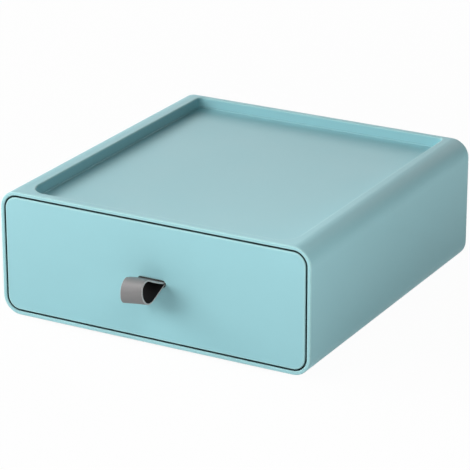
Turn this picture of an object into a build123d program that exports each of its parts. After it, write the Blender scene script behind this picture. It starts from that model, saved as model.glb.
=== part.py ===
from build123d import *
import os

# A stackable drawer box: a one-piece moulded case, a drawer that slides out of its front, and a
# strap loop to pull it by. Millimetres, +Z up, +X to the right, and the front faces -Y.
# The origin is the centre of the whole footprint, pull included, on the surface it stands on.

# Case
case_width = 185.0
case_depth = 191.5
case_height = 69.8              # the body alone, from its flat underside to its rim
case_corner = 10.1              # outer radius of the four long edges
case_wall = 2.1
back_chamfer = 0.8
lip_chamfer = 0.4               # both edges of the lip round the front opening

# Stacking tray sunk into the top
tray_depth = 6.4
tray_width = 156.6
tray_front_rim = 5.2            # rim between the tray and the front face
tray_back_rim = 3.5
tray_front_corner = 10.5
tray_back_corner = 3.3
tray_floor_fillet = 0.8
rim_rounding = 0.7

# Base: a ring that drops into the tray of the box below, and four pads stuck on inside it
ring_drop = 1.8
ring_width = 2.0
stack_clearance = 0.8
pad_diameter = 12.0
pad_stand = 0.7                 # how far a pad stands out below the ring
pad_inset = 14.0                # from the outside of the ring to a pad's centre

# Rails and guides inside the case
rail_height = 1.0
rail_width = 3.0
rail_offset = 58.0
guide_height = 3.0
guide_width = 1.0               # how far a guide stands out of the side wall
guide_below_top = 8.0           # from the drawer's rim down to the middle of a guide
running_gap = 0.3

# Stops that keep the drawer from coming right out
drawer_travel = 150.0
stop_offset = 52.0
stop_width = 14.0
stop_depth = 1.6                # how far a stop hangs below the tray's underside
stop_thickness = 2.2
catch_width = 12.0
catch_thickness = 2.0
catch_top_gap = 0.4
stop_pass_gap = 0.4             # between a stop and the drawer's rim that passes under it

# Drawer front
front_thickness = 2.8
front_gap = 0.95                # the line that shows all round the drawer front
front_seat_gap = 0.3            # behind the front, to the wall of the tray
front_chamfer = 0.4

# Drawer tub
tub_side_gap = 1.4              # to the case's side walls
tub_back_gap = 1.0
tub_wall = 1.8
tub_front_wall = 2.0
tub_corner = 8.0
tub_bottom_chamfer = 3.0        # outside
tub_floor_fillet = 3.2          # inside
tub_front_fillet = 2.5          # inside, where the flat front wall meets the sides and floor
tub_rim_chamfer = 0.5

# Screws and their bosses on the back of the drawer front
boss_diameter = 6.0
boss_gap = 0.15                 # between a boss and its hole in the tub
screw_offset_x = 72.0
screw_offset_z = 17.0           # above and below the middle of the drawer front
screw_diameter = 2.9
screw_bore_gap = 0.05
screw_head_diameter = 8.0
screw_head_height = 1.7
screw_bite = 3.4                # length of the screw inside its boss
screw_tip_gap = 0.2
screw_recess_width = 0.9
screw_recess_length = 4.4
screw_recess_depth = 0.8

# Pull strap, threaded through a slot and clamped inside the tub
strap_width = 15.0
strap_thickness = 0.9
strap_ply_gap = 0.2             # between its two plies in the slot
strap_reach = 20.5              # how far the loop stands out of the front
strap_rise = 8.8                # height where the upper leg's line meets the nose's
strap_drop = 10.6               # depth where the lower leg's line meets it
strap_crest_radius = 5.0
strap_belly_radius = 6.6
strap_exit_radius = 2.0
strap_bend_radius = 1.75
strap_tail = 9.0                # each tail, from the slot's centre
strap_seat_gap = 0.1
slot_side_gap = 0.75
slot_height_gap = 0.6
slot_chamfer = 0.35
tub_slot_margin = 0.8           # the slot in the tub is wider than the one in the front

# Clamp over the strap's tails
clamp_width = 38.0
clamp_height = 24.0
clamp_cover = 2.2               # plastic over the tails
clamp_corner = 4.0
clamp_channel_gap = 0.3
clamp_screw_offset = 13.5

# Heights
ring_bottom_z = pad_stand
base_z = ring_bottom_z + ring_drop
top_z = base_z + case_height
middle_z = base_z + case_height / 2
floor_z = base_z + case_wall
tray_floor_z = top_z - tray_depth
ceiling_z = tray_floor_z - case_wall
tub_bottom_z = floor_z + rail_height + running_gap
tub_top_z = ceiling_z - stop_depth - stop_pass_gap

# Depths, from the front face backwards
front_y = (strap_reach - case_depth) / 2
back_y = front_y + case_depth
front_back_y = front_y + front_thickness
tray_front_y = front_y + tray_front_rim
tray_back_y = back_y - tray_back_rim
inner_back_y = back_y - case_wall
tub_back_y = inner_back_y - tub_back_gap
tub_inner_front_y = front_back_y + tub_front_wall

# Widths
inner_width = case_width - 2 * case_wall
inner_height = case_height - 2 * case_wall
inner_corner = case_corner - case_wall
tub_width = inner_width - 2 * tub_side_gap
front_width = inner_width - 2 * front_gap
front_height = inner_height - 2 * front_gap
front_corner = inner_corner - front_gap
slot_width = strap_width + 2 * slot_side_gap
slot_height = 2 * strap_thickness + strap_ply_gap + 2 * slot_height_gap


def facing(x, y, z):
    """A plane that faces the front, with its origin at the given point."""
    return Plane(origin=(x, y, z), x_dir=(1, 0, 0), z_dir=(0, -1, 0))


def upright_prism(width, height, radius, near_y, far_y):
    """A rounded rectangle round the middle of the front, drawn out from far_y to near_y."""
    outline = facing(0, far_y, middle_z) * RectangleRounded(width, height, radius)
    return extrude(outline, far_y - near_y)


def block(x, y, z, width, depth, height):
    """A box centred on x, that starts at y and at z."""
    return Pos(x, y, z) * Box(width, depth, height, align=(Align.CENTER, Align.MIN, Align.MIN))


def both_sides(shape):
    """The shape and its mirror image on the other side of the middle."""
    return [shape, mirror(shape, Plane.YZ)]


def tray_outline(grow, z):
    """The tray's plan at height z, grown by the given amount all round."""
    length = tray_back_y - tray_front_y + 2 * grow
    middle_y = (tray_front_y + tray_back_y) / 2
    plan = Pos(0, middle_y, z) * Rectangle(tray_width + 2 * grow, length)
    corners = plan.vertices().group_by(Axis.Y)
    plan = fillet(corners[0], tray_front_corner + grow)
    corners = plan.vertices().group_by(Axis.Y)
    return fillet(corners[-1], tray_back_corner + grow)


def tray_hollow():
    """The hollow of the tray, with its rounded foot."""
    hollow = extrude(tray_outline(0, top_z), tray_depth, dir=(0, 0, -1))
    return fillet(hollow.edges().group_by(Axis.Z)[0], tray_floor_fillet)


def tray_block():
    """The block that the tray and its walls fill, bevelled below to keep the wall even."""
    filled = extrude(tray_outline(case_wall, top_z), tray_depth + case_wall, dir=(0, 0, -1))
    return chamfer(filled.edges().group_by(Axis.Z)[0], case_wall)


def pad_centres():
    """Plan positions of the four pads, by name."""
    x = tray_width / 2 - stack_clearance - pad_inset
    near_y = tray_front_y + stack_clearance + pad_inset
    far_y = tray_back_y - stack_clearance - pad_inset
    return {
        "front_left": (-x, near_y),
        "front_right": (x, near_y),
        "rear_left": (-x, far_y),
        "rear_right": (x, far_y),
    }


def base_ring():
    """The ring under the case, a little smaller than the tray that it drops into."""
    outside = tray_outline(-stack_clearance, ring_bottom_z)
    inside = tray_outline(-stack_clearance - ring_width, ring_bottom_z)
    return extrude(outside - inside, ring_drop)


def case_ribs():
    """Floor rails that carry the drawer, side guides that centre it and stops that hold it back."""
    start_y = front_back_y + front_seat_gap
    length = back_y - case_wall / 2 - start_y
    rail = block(rail_offset, start_y, floor_z - case_wall / 2, rail_width, length, rail_height + case_wall / 2)
    guide_z = tub_top_z - guide_below_top - guide_height / 2
    guide_reach = guide_width + case_wall / 2
    guide_x = inner_width / 2 - guide_width + guide_reach / 2
    guide = block(guide_x, start_y, guide_z, guide_reach, length, guide_height)
    catch_front_y = tub_back_y - catch_thickness
    stop_back_y = catch_front_y - drawer_travel - running_gap
    stop_y = stop_back_y - stop_thickness
    stop_z = ceiling_z - stop_depth
    stop = block(stop_offset, stop_y, stop_z, stop_width, stop_thickness, stop_depth + case_wall / 2)
    return both_sides(rail) + both_sides(guide) + both_sides(stop)


def case_shell():
    """The case: a sleeve with a closed back, whose top wall dips to make the stacking tray.

    The walls keep one thickness all through, so the rims beside the tray are hollow channels
    that the drawer front covers.
    """
    body = upright_prism(case_width, case_height, case_corner, front_y, back_y)
    body = chamfer(body.edges().group_by(Axis.Y)[-1], back_chamfer)
    core = upright_prism(inner_width, inner_height, inner_corner, front_y, inner_back_y)
    shell = body - (core - tray_block()) - tray_hollow()
    lip_edges = shell.edges().group_by(Axis.Y)[0]
    shell = chamfer(lip_edges, lip_chamfer)
    tray_reach_x = tray_width / 2 + rim_rounding
    rim_edges = [
        edge
        for edge in shell.edges().group_by(Axis.Z)[-1]
        if abs(edge.center().X) < tray_reach_x and edge.center().Y > tray_front_y - rim_rounding
    ]
    shell = fillet(rim_edges, rim_rounding)
    shell += base_ring()
    for rib in case_ribs():
        shell += rib
    return shell


def foot_pad(x, y):
    """A soft round pad that grips the table, stuck to the flat underside of the case."""
    return Pos(x, y, 0) * Cylinder(pad_diameter / 2, base_z, align=(Align.CENTER, Align.CENTER, Align.MIN))


def tub_solid(width, front_at, back_at, bottom_at, corner):
    """A block with rounded corners that stands on the height bottom_at and reaches the tub's rim."""
    plan = Pos(0, (front_at + back_at) / 2, bottom_at) * RectangleRounded(width, back_at - front_at, corner)
    return extrude(plan, tub_top_z - bottom_at)


def front_screw_spots():
    """Where the four screws that hold the drawer front stand, as x and z."""
    return [
        (side * screw_offset_x, middle_z + level * screw_offset_z)
        for side in (-1, 1)
        for level in (-1, 1)
    ]


def clamp_screw_spots():
    """Where the two screws of the strap clamp stand, as x and z."""
    return [(side * clamp_screw_offset, middle_z) for side in (-1, 1)]


def rod(x, z, radius, from_y, length):
    """A cylinder along Y that starts at from_y and runs backwards."""
    disc = facing(x, from_y + length, z) * Circle(radius)
    return extrude(disc, length)


def slot_cutter(margin, near_y, far_y):
    """The strap's slot with round ends, widened all round by the margin."""
    height = slot_height + 2 * margin
    outline = facing(0, far_y, middle_z) * SlotOverall(slot_width + 2 * margin, height)
    return extrude(outline, far_y - near_y)


def flat_fronted(solid, wall_y):
    """The solid without what lies in front of the flat plane at wall_y."""
    spill = 4 * tub_corner
    return solid - block(0, wall_y - spill, tub_bottom_z, case_width, spill, case_height)


def drawer_tub():
    """The drawer's tub: open above, bevelled outside and rounded inside, with a flat front wall."""
    spill = 2 * tub_corner
    outside = tub_solid(tub_width, front_back_y - spill, tub_back_y, tub_bottom_z, tub_corner)
    outside = chamfer(outside.edges().group_by(Axis.Z)[0], tub_bottom_chamfer)
    outside = flat_fronted(outside, front_back_y)
    hollow = tub_solid(
        tub_width - 2 * tub_wall,
        tub_inner_front_y - spill,
        tub_back_y - tub_wall,
        tub_bottom_z + tub_wall,
        tub_corner - tub_wall,
    )
    hollow = fillet(hollow.edges().group_by(Axis.Z)[0], tub_floor_fillet)
    hollow = flat_fronted(hollow, tub_inner_front_y)
    wall_edges = hollow.faces().sort_by(Axis.Y)[0].edges().sort_by(Axis.Z)[:-1]
    hollow = fillet(wall_edges, tub_front_fillet)
    tub = outside - hollow
    tub = chamfer(tub.edges().group_by(Axis.Z)[-1], tub_rim_chamfer)
    catch_height = ceiling_z - catch_top_gap - tub_top_z
    root = 2 * tub_rim_chamfer
    catch = block(
        stop_offset,
        tub_back_y - catch_thickness,
        tub_top_z - root,
        catch_width,
        catch_thickness,
        catch_height + root,
    )
    catch = chamfer(catch.edges().group_by(Axis.Z)[-1].sort_by(Axis.Y)[-1], catch_thickness / 2)
    for part in both_sides(catch):
        tub += part
    for x, z in front_screw_spots() + clamp_screw_spots():
        tub -= rod(x, z, boss_diameter / 2 + boss_gap, front_back_y, tub_front_wall)
    tub -= slot_cutter(tub_slot_margin, front_back_y, tub_inner_front_y)
    return tub


def drawer_front():
    """The drawer front: a flat plate with a slot for the strap and bosses on its back."""
    plate = upright_prism(front_width, front_height, front_corner, front_y, front_back_y)
    plate -= slot_cutter(0, front_y, front_back_y)
    plate = chamfer(plate.faces().sort_by(Axis.Y)[0].outer_wire().edges(), front_chamfer)
    plate = chamfer(plate.faces().sort_by(Axis.Y)[0].inner_wires()[0].edges(), slot_chamfer)
    tip_y = tub_inner_front_y - screw_bite - screw_tip_gap
    for x, z in front_screw_spots() + clamp_screw_spots():
        plate += rod(x, z, boss_diameter / 2, front_back_y, tub_front_wall)
    for x, z in front_screw_spots() + clamp_screw_spots():
        bore_radius = screw_diameter / 2 + screw_bore_gap
        plate -= rod(x, z, bore_radius, tip_y, tub_inner_front_y - tip_y)
    return plate


def screw(x, z, head_y):
    """A self-tapping screw whose washer head lies on the plane head_y and points its slot inwards."""
    head = rod(x, z, screw_head_diameter / 2, head_y, screw_head_height)
    recess_y = head_y + screw_head_height - screw_recess_depth
    recess_z = z - screw_recess_width / 2
    cross = block(x, recess_y, recess_z, screw_recess_length, screw_recess_depth, screw_recess_width)
    recess_z = z - screw_recess_length / 2
    cross += block(x, recess_y, recess_z, screw_recess_width, screw_recess_depth, screw_recess_length)
    tip_y = tub_inner_front_y - screw_bite
    shank = rod(x, z, screw_diameter / 2, tip_y, head_y - tip_y)
    return head - cross + shank


def strap_outline():
    """The strap's middle line, seen from the side: tail, slot, loop, slot and tail."""
    ply = (strap_thickness + strap_ply_gap) / 2
    tail_y = tub_inner_front_y + strap_seat_gap + strap_thickness / 2
    nose_y = front_y - strap_reach + strap_thickness / 2
    line = Plane.YZ * FilletPolyline(
        (tail_y, middle_z + strap_tail),
        (tail_y, middle_z + ply),
        (front_y, middle_z + ply),
        (nose_y, middle_z + strap_rise),
        (nose_y, middle_z - strap_drop),
        (front_y, middle_z - ply),
        (tail_y, middle_z - ply),
        (tail_y, middle_z - strap_tail),
        radius=[
            strap_bend_radius,
            strap_exit_radius,
            strap_crest_radius,
            strap_belly_radius,
            strap_exit_radius,
            strap_bend_radius,
        ],
    )
    return line


def pull_strap():
    """The pull: one strap folded into a loop, both ends through the slot and turned apart inside."""
    band = make_face(offset(strap_outline(), strap_thickness / 2, side=Side.BOTH).edges())
    return extrude(band, strap_width / 2, both=True)


def strap_clamp():
    """A plate that presses the strap's tails against the tub, with a channel for them."""
    channel_depth = strap_thickness + strap_seat_gap
    thickness = clamp_cover + channel_depth
    seat_y = tub_inner_front_y
    outline = facing(0, seat_y + thickness, middle_z) * RectangleRounded(clamp_width, clamp_height, clamp_corner)
    plate = extrude(outline, thickness)
    channel_width = strap_width + 2 * clamp_channel_gap
    channel_z = middle_z - clamp_height / 2
    plate -= block(0, seat_y, channel_z, channel_width, channel_depth, clamp_height)
    for x, z in clamp_screw_spots():
        plate -= rod(x, z, screw_diameter / 2 + boss_gap, seat_y, thickness)
    return plate


def all_parts():
    """Every sub-part by its name."""
    clamp_top_y = tub_inner_front_y + clamp_cover + strap_thickness + strap_seat_gap
    parts = {
        "case_shell": case_shell(),
        "drawer_tub": drawer_tub(),
        "drawer_front": drawer_front(),
        "drawer_front_screws": Compound(
            [screw(x, z, tub_inner_front_y).solid() for x, z in front_screw_spots()]
        ),
        "pull_strap": pull_strap(),
        "strap_clamp": strap_clamp(),
        "strap_clamp_screws": Compound([screw(x, z, clamp_top_y).solid() for x, z in clamp_screw_spots()]),
    }
    for corner, (x, y) in pad_centres().items():
        parts["foot_pad_" + corner] = foot_pad(x, y)
    return parts


os.makedirs("parts", exist_ok=True)
for name, shape in all_parts().items():
    export_step(shape, "parts/" + name + ".step")
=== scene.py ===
import math

import bpy
from mathutils import Matrix, Vector


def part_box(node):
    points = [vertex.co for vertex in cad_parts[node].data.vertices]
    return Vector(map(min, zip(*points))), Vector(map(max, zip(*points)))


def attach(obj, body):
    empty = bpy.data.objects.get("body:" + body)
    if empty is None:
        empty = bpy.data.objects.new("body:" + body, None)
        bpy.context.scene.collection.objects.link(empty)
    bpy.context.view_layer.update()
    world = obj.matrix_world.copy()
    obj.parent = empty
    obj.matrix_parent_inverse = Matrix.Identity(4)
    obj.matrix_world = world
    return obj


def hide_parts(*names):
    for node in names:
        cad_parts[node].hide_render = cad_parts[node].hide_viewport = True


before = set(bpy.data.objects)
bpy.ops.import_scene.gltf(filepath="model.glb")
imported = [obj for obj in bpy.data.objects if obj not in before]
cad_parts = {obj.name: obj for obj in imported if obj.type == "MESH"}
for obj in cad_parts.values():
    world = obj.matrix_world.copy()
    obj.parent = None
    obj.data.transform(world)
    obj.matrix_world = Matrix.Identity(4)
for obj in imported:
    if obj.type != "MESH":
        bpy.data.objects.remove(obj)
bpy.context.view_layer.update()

# Camera: place in metres, angles in degrees, lens and sensor in millimetres
camera_place = Vector((0.63696, -1.14519, 0.53597))
camera_azimuth = 29.009
camera_elevation = 20.937
camera_roll = -0.115
camera_lens = 197.58
sensor_width = 36.0
nearest_seen = 0.05
furthest_seen = 20.0

# Lamps, in metres and watts
object_middle = (0.0, 0.0, 0.04)
lamps = {
    # name: place, target, width, height, watts
    "left_high": ((-1.413, 0.0, 0.791), object_middle, 0.6, 0.6, 5.3),
    "front_left_low": ((-1.107, -1.107, 0.373), object_middle, 0.6, 0.6, 3.7),
    "front_left_high": ((-1.285, -0.519, 0.84), object_middle, 0.6, 0.6, 7.8),
    "front_high": ((-0.541, -1.275, 0.84), object_middle, 0.6, 0.6, 7.3),
    "near_left": ((-0.35, -0.5, 0.35), (0.0, -0.1, 0.05), 0.3, 0.3, 0.64),
    "near_right": ((0.15, -0.22, 0.25), (0.08, -0.06, 0.06), 0.15, 0.15, 0.22),
    "back_low": ((0.0, 1.565, 0.373), object_middle, 0.6, 0.6, 8.0),
    "back_left": ((-0.725, 1.256, 0.716), object_middle, 0.6, 0.6, 3.2),
    "low_right": ((0.7, 0.0, 0.035), (0.0, 0.0, 0.035), 0.8, 0.06, 0.91),
    "floor_right": ((0.5, 0.0, 0.004), (0.5, 0.0, 1.0), 0.6, 0.8, 1.36),
    "floor_left": ((-0.3, -0.4, 0.004), (-0.3, -0.4, 1.0), 0.35, 0.35, 0.57),
}

# Floor: metres from its middle to a side, its grey, how much of it shows as plain white, and the dark line
# under the object: metres looked over, and the openness from which the floor is white
floor_half = 4.0
floor_grey = 0.85
floor_roughness = 0.9
floor_whiteness = 0.97
contact_reach = 0.003
contact_open = 0.5

# Colours, linear
white = (1.0, 1.0, 1.0)
teal = (0.328, 0.616, 0.664)
# the colour of the painted highlight on the teal plastic's edges
edge_highlight_teal = (0.52, 0.80, 0.79)
strap_grey = (0.192, 0.187, 0.187)
strap_edge_grey = (0.46, 0.455, 0.45)
strap_inside_grey = (0.012, 0.0115, 0.012)
zinc = (0.55, 0.55, 0.53)
rubber_grey = (0.035, 0.037, 0.04)

# Teal plastic: how strongly it mirrors, and the radius in metres at which its edges catch the light
plastic_specular = 0.16
plastic_edge = 0.0005

# Painted shade in crevices and gaps: metres looked over, the openness of the deepest and of what counts as
# open, and the share of colour left in the deepest
crevice_shade_reach = 0.002
crevice_shade_closed = 0.35
crevice_shade_open = 0.8
crevice_shade_darkest = 0.03

# Painted highlight on edges: metres looked over, and the solidity that gives the palest colour
edge_highlight_reach = 0.001
edge_highlight_full = 0.62

# Detail of the mottling and of the grain, and rays for each look at the surroundings
mottle_detail = 4.0
grain_detail = 2.0
surface_rays = 6
floor_rays = 8

# Pull strap, metres: the same side line as the solid's
strap_width = 0.015
strap_thickness = 0.0009
ply_gap = 0.0002
strap_reach = 0.0205
strap_rise = 0.0088
strap_drop = 0.0106
tail_length = 0.009
seat_gap = 0.0001
front_depth = 0.0048            # from the front face to the inside of the tub
bend_radii = (0.00175, 0.002, 0.005, 0.0066, 0.002, 0.00175)
skew_out = 0.0016               # the right edge of the loop stands further out, the left one less
skew_up = 0.0024                # and higher
skew_power = 2.2
edge_round = 0.00025
station_step = 0.0004
width_steps = 10
corner_steps = 3

# Surfaces of the strap, in the order of its materials
coat, cut_edge, inside = 0, 1, 2


def rgba(colour, share=1.0):
    """The colour times the share, opaque."""
    return tuple(min(1.0, part * share) for part in colour) + (1.0,)


def node(tree, kind, inputs, **properties):
    """A new node with its properties set. Each input gets a value, or the output that it is linked to."""
    made = tree.nodes.new(kind)
    for name, value in properties.items():
        setattr(made, name, value)
    for name, value in inputs.items():
        if isinstance(value, bpy.types.NodeSocket):
            tree.links.new(value, made.inputs[name])
        else:
            made.inputs[name].default_value = value
    return made


def empty_tree(owner):
    """The node tree of a material or world, with nothing in it."""
    owner.use_nodes = True
    owner.node_tree.nodes.clear()
    return owner.node_tree


def paint_edge_highlights(tree, tint, reach):
    """The tint, turned pale where little plastic lies within reach behind the surface: a painted highlight on
    edges.
    """
    solid = node(tree, "ShaderNodeAmbientOcclusion", {"Distance": reach},
                 samples=surface_rays, inside=True, only_local=True)
    share = node(tree, "ShaderNodeMapRange",
                 {"Value": solid.outputs["AO"], "From Min": 1.0, "From Max": edge_highlight_full})
    highlighted = node(tree, "ShaderNodeMix", {"Factor": share.outputs["Result"], 6: tint, 7: rgba(edge_highlight_teal)},
                 data_type="RGBA")
    return highlighted.outputs[2]


def paint_crevice_shade(tree, tint, reach, own_only):
    """The tint, darkened where something stands close in front of the surface: painted shade in crevices and
    gaps.
    """
    shade = node(tree, "ShaderNodeAmbientOcclusion", {"Distance": reach},
                 samples=surface_rays, only_local=own_only)
    depth = node(tree, "ShaderNodeMapRange", {
        "Value": shade.outputs["AO"],
        "From Min": crevice_shade_closed,
        "From Max": crevice_shade_open,
        "To Min": crevice_shade_darkest,
    })
    darker = node(tree, "ShaderNodeMix", {"Factor": 1.0, 6: tint, 7: depth.outputs["Result"]},
                  data_type="RGBA", blend_type="MULTIPLY")
    return darker.outputs[2]


def surface(name, colour, roughness, rough_spread=0.05, specular=0.5, metallic=0.0,
            mottle=0.02, mottle_scale=30.0, grain_scale=2500.0, grain_depth=0.00001,
            edge=0.0, painted_highlight=0.0, painted_shade=0.0, own_part_shade_only=True):
    """A procedural finish: faint uneven colour and gloss, a fine grain, a painted highlight on edges and
    painted shade in crevices and gaps.
    """
    material = bpy.data.materials.new(name)
    tree = empty_tree(material)
    place = node(tree, "ShaderNodeTexCoord", {}).outputs["Object"]
    uneven = node(tree, "ShaderNodeTexNoise", {
        "Vector": place,
        "Scale": mottle_scale,
        "Detail": mottle_detail,
    })
    blend = node(
        tree,
        "ShaderNodeMix",
        {"Factor": uneven.outputs["Fac"], 6: rgba(colour, 1 - mottle), 7: rgba(colour, 1 + mottle)},
        data_type="RGBA",
    )
    tint = blend.outputs[2]
    # Painted highlight: edges turned pale as if they caught the light
    if painted_highlight:
        tint = paint_edge_highlights(tree, tint, painted_highlight)
    # Painted shade: crevices and gaps darkened as if they were in shadow
    if painted_shade:
        tint = paint_crevice_shade(tree, tint, painted_shade, own_part_shade_only)
    gloss = node(tree, "ShaderNodeMapRange", {
        "Value": uneven.outputs["Fac"],
        "To Min": roughness - rough_spread,
        "To Max": roughness + rough_spread,
    })
    grain = node(tree, "ShaderNodeTexNoise", {
        "Vector": place,
        "Scale": grain_scale,
        "Detail": grain_detail,
    })
    relief = {"Height": grain.outputs["Fac"], "Strength": 1.0, "Distance": grain_depth}
    if edge:
        soft_edge = node(tree, "ShaderNodeBevel", {"Radius": edge}, samples=surface_rays)
        relief["Normal"] = soft_edge.outputs["Normal"]
    bump = node(tree, "ShaderNodeBump", relief)
    shader = node(tree, "ShaderNodeBsdfPrincipled", {
        "Base Color": tint,
        "Metallic": metallic,
        "Roughness": gloss.outputs["Result"],
        "Specular IOR Level": specular,
        "Normal": bump.outputs["Normal"],
    })
    node(tree, "ShaderNodeOutputMaterial", {"Surface": shader.outputs["BSDF"]})
    return material


def dress(name, material):
    """Gives a CAD node its finish."""
    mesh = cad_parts[name].data
    mesh.materials.clear()
    mesh.materials.append(material)


def rounded_line(corners, radii, step):
    """Points along a line through the corners, with each inner corner rounded by its radius."""
    points = [Vector(corners[0])]
    for before, corner, after, radius in zip(corners, corners[1:], corners[2:], radii):
        corner = Vector(corner)
        back = (Vector(before) - corner).normalized()
        ahead = (Vector(after) - corner).normalized()
        half = back.angle(ahead) / 2
        cut = radius / math.tan(half)
        centre = corner + (back + ahead).normalized() * (radius / math.sin(half))
        start = corner + back * cut
        end = corner + ahead * cut
        turn = math.pi - 2 * half
        steps = max(3, math.ceil(turn * radius / step))
        from_centre = start - centre
        sign = 1 if from_centre.x * (end - centre).y - from_centre.y * (end - centre).x > 0 else -1
        for i in range(steps + 1):
            spin = Matrix.Rotation(sign * turn * i / steps, 2)
            points.append(centre + spin @ from_centre)
    points.append(Vector(corners[-1]))
    filled = [points[0]]
    for point in points[1:]:
        first = filled[-1]
        pieces = math.ceil((point - first).length / step)
        for i in range(1, pieces + 1):
            filled.append(first.lerp(point, i / pieces))
    return filled


def strap_section():
    """The strap's rounded section, as (across, through, surface)."""
    half_thick = strap_thickness / 2
    flat = strap_width / 2 - edge_round
    points = []
    for i in range(width_steps + 1):
        points.append((-flat + 2 * flat * i / width_steps, half_thick, coat))
    for i in range(1, corner_steps + 1):
        angle = math.pi / 2 * (1 - i / corner_steps)
        through = half_thick - edge_round * (1 - math.sin(angle))
        points.append((flat + edge_round * math.cos(angle), through, cut_edge))
    for i in range(corner_steps + 1):
        angle = -math.pi / 2 * i / corner_steps
        through = -half_thick + edge_round * (1 + math.sin(angle))
        points.append((flat + edge_round * math.cos(angle), through, inside if i else cut_edge))
    for i in range(1, width_steps + 1):
        points.append((flat - 2 * flat * i / width_steps, -half_thick, inside))
    for i in range(1, corner_steps + 1):
        angle = -math.pi / 2 * (1 - i / corner_steps)
        through = -half_thick + edge_round * (1 + math.sin(angle))
        points.append((-flat - edge_round * math.cos(angle), through, inside))
    for i in range(corner_steps):
        angle = math.pi / 2 * i / corner_steps
        through = half_thick - edge_round * (1 - math.sin(angle))
        points.append((-flat - edge_round * math.cos(angle), through, cut_edge))
    return points


def strap_line():
    """The strap's middle line as (y, z), and the front face's y: tail, slot, loop, slot and tail."""
    low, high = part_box("drawer_front")
    front_y = low.y
    middle_z = (low.z + high.z) / 2
    ply = (strap_thickness + ply_gap) / 2
    tail_y = front_y + front_depth + seat_gap + strap_thickness / 2
    nose_y = front_y - strap_reach + strap_thickness / 2
    corners = [
        (tail_y, middle_z + tail_length),
        (tail_y, middle_z + ply),
        (front_y, middle_z + ply),
        (nose_y, middle_z + strap_rise),
        (nose_y, middle_z - strap_drop),
        (front_y, middle_z - ply),
        (tail_y, middle_z - ply),
        (tail_y, middle_z - tail_length),
    ]
    return rounded_line(corners, bend_radii, station_step), front_y


def make_strap():
    """The strap as one swept band, with its loop a little askew."""
    line, front_y = strap_line()
    section = strap_section()
    count = len(section)
    vertices = []
    faces = []
    kinds = []
    for i, point in enumerate(line):
        along = (line[min(i + 1, len(line) - 1)] - line[max(i - 1, 0)]).normalized()
        outward = Vector((along.y, -along.x))
        for across, through, kind in section:
            place = point + outward * through
            share = across / (strap_width / 2)
            out = min(1.0, max(0.0, (front_y - place.x) / strap_reach))
            vertices.append((
                across,
                place.x - share * skew_out * out,
                place.y + share * skew_up * out ** skew_power,
            ))
    for i in range(len(line) - 1):
        for j in range(count):
            k = (j + 1) % count
            faces.append((i * count + j, i * count + k, (i + 1) * count + k, (i + 1) * count + j))
            pair = {section[j][2], section[k][2]}
            kinds.append(cut_edge if cut_edge in pair else pair.pop())
    last = (len(line) - 1) * count
    faces.append(tuple(reversed(range(count))))
    faces.append(tuple(range(last, last + count)))
    kinds += [cut_edge, cut_edge]
    mesh = bpy.data.meshes.new("strap_band")
    mesh.from_pydata(vertices, [], faces)
    for face, kind in zip(mesh.polygons, kinds):
        face.material_index = kind
        face.use_smooth = len(face.vertices) == 4
    mesh.validate()
    mesh.update()
    band = bpy.data.objects.new("strap_band", mesh)
    bpy.context.scene.collection.objects.link(band)
    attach(band, "drawer")
    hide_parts("pull_strap")
    return band


def seen_directly(tree):
    """An output that is 1 to the camera and in what mirrors or lets light through, and 0 to other light."""
    path = node(tree, "ShaderNodeLightPath", {})
    seen = path.outputs["Is Camera Ray"]
    for ray in ("Is Glossy Ray", "Is Transmission Ray"):
        seen = node(tree, "ShaderNodeMath", {0: seen, 1: path.outputs[ray]}, operation="MAXIMUM").outputs[0]
    return seen


def make_floor():
    """A wide white floor that keeps a faint shadow, with a dark line where the object stands on it."""
    mesh = bpy.data.meshes.new("floor")
    corners = [(-floor_half, -floor_half, 0), (floor_half, -floor_half, 0),
               (floor_half, floor_half, 0), (-floor_half, floor_half, 0)]
    mesh.from_pydata(corners, [], [(0, 1, 2, 3)])
    floor = bpy.data.objects.new("floor", mesh)
    bpy.context.scene.collection.objects.link(floor)
    material = bpy.data.materials.new("floor_white")
    tree = empty_tree(material)
    lit = node(tree, "ShaderNodeBsdfPrincipled", {
        "Base Color": rgba(white, floor_grey),
        "Roughness": floor_roughness,
        "Specular IOR Level": 0.0,
    })
    plain = node(tree, "ShaderNodeEmission", {"Strength": 1.0})
    contact = node(tree, "ShaderNodeAmbientOcclusion", {"Distance": contact_reach}, samples=floor_rays)
    clear = node(tree, "ShaderNodeMapRange", {
        "Value": contact.outputs["AO"],
        "From Max": contact_open,
        "To Max": floor_whiteness,
    })
    share = node(tree, "ShaderNodeMath", {0: seen_directly(tree), 1: clear.outputs["Result"]},
                 operation="MULTIPLY")
    mix = node(tree, "ShaderNodeMixShader", {0: share.outputs[0], 1: lit.outputs[0], 2: plain.outputs[0]})
    node(tree, "ShaderNodeOutputMaterial", {"Surface": mix.outputs[0]})
    mesh.materials.append(material)


def make_world():
    """A world that shows white and lights nothing."""
    world = bpy.data.worlds.new("studio")
    bpy.context.scene.world = world
    tree = empty_tree(world)
    unlit = node(tree, "ShaderNodeBackground", {"Color": rgba(white), "Strength": 0.0})
    plain = node(tree, "ShaderNodeBackground", {"Color": rgba(white), "Strength": 1.0})
    mix = node(tree, "ShaderNodeMixShader", {
        0: seen_directly(tree),
        1: unlit.outputs[0],
        2: plain.outputs[0],
    })
    node(tree, "ShaderNodeOutputWorld", {"Surface": mix.outputs[0]})


def make_lamps():
    """Soft area lamps, each aimed at its target."""
    for name, (place, target, width, height, watts) in lamps.items():
        data = bpy.data.lights.new(name, "AREA")
        data.shape = "RECTANGLE"
        data.size = width
        data.size_y = height
        data.energy = watts
        lamp = bpy.data.objects.new("lamp_" + name, data)
        lamp.location = place
        aim = Vector(target) - Vector(place)
        lamp.rotation_euler = aim.to_track_quat("-Z", "Y").to_euler()
        lamp.visible_camera = False
        bpy.context.scene.collection.objects.link(lamp)


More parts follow.
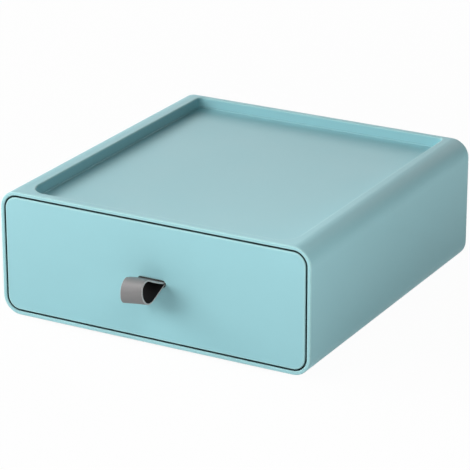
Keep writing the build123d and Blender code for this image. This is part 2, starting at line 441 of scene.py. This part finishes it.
def make_camera():
    """The camera at the photograph's place and angle."""
    azimuth = math.radians(camera_azimuth)
    elevation = math.radians(camera_elevation)
    roll = math.radians(camera_roll)
    back = Vector((
        math.sin(azimuth) * math.cos(elevation),
        -math.cos(azimuth) * math.cos(elevation),
        math.sin(elevation),
    ))
    right = Vector((math.cos(azimuth), math.sin(azimuth), 0.0))
    up = back.cross(right)
    rolled_right = right * math.cos(roll) + up * math.sin(roll)
    rolled_up = up * math.cos(roll) - right * math.sin(roll)
    turn = Matrix((rolled_right, rolled_up, back)).transposed()
    data = bpy.data.cameras.new("camera")
    data.sensor_width = sensor_width
    data.lens = camera_lens
    data.clip_start = nearest_seen
    data.clip_end = furthest_seen
    camera = bpy.data.objects.new("camera", data)
    camera.matrix_world = Matrix.Translation(camera_place) @ turn.to_4x4()
    bpy.context.scene.collection.objects.link(camera)
    bpy.context.scene.camera = camera


teal_plastic = {
    "specular": plastic_specular,
    "edge": plastic_edge,
    "painted_highlight": edge_highlight_reach,
    "painted_shade": crevice_shade_reach,
}
# The case and the front also take painted shade from each other, which darkens the gap around the drawer
# front
case_finish = surface("case_plastic_teal", teal, 0.46, own_part_shade_only=False, **teal_plastic)
front_finish = surface("front_plastic_teal", teal, 0.44, own_part_shade_only=False, **teal_plastic)
tub_finish = surface("tub_plastic_teal", teal, 0.46, **teal_plastic)
clamp_finish = surface("clamp_plastic_teal", teal, 0.5, edge=0.0004)
screw_finish = surface("screw_zinc", zinc, 0.32, metallic=1.0, mottle=0.06, mottle_scale=400.0, edge=0.0003)
pad_finish = surface("pad_rubber_dark", rubber_grey, 0.78, mottle=0.15,
                     grain_scale=3500.0, grain_depth=0.00003)
strap_finishes = (
    surface("strap_coat", strap_grey, 0.5, specular=0.33, mottle=0.05,
            grain_scale=1800.0, grain_depth=0.00004),
    surface("strap_cut_edge", strap_edge_grey, 0.7, mottle=0.08,
            grain_scale=3000.0, grain_depth=0.00004),
    surface("strap_inside", strap_inside_grey, 0.9, specular=0.15, mottle=0.08,
            grain_scale=2600.0, grain_depth=0.00005),
)

dress("case_shell", case_finish)
dress("drawer_tub", tub_finish)
dress("drawer_front", front_finish)
dress("drawer_front_screws", screw_finish)
dress("strap_clamp", clamp_finish)
dress("strap_clamp_screws", screw_finish)
for corner in ("front_left", "front_right", "rear_left", "rear_right"):
    dress("foot_pad_" + corner, pad_finish)

strap = make_strap()
for finish in strap_finishes:
    strap.data.materials.append(finish)

make_floor()
make_world()
make_lamps()
make_camera()

scene = bpy.context.scene
scene.view_settings.view_transform = "Standard"
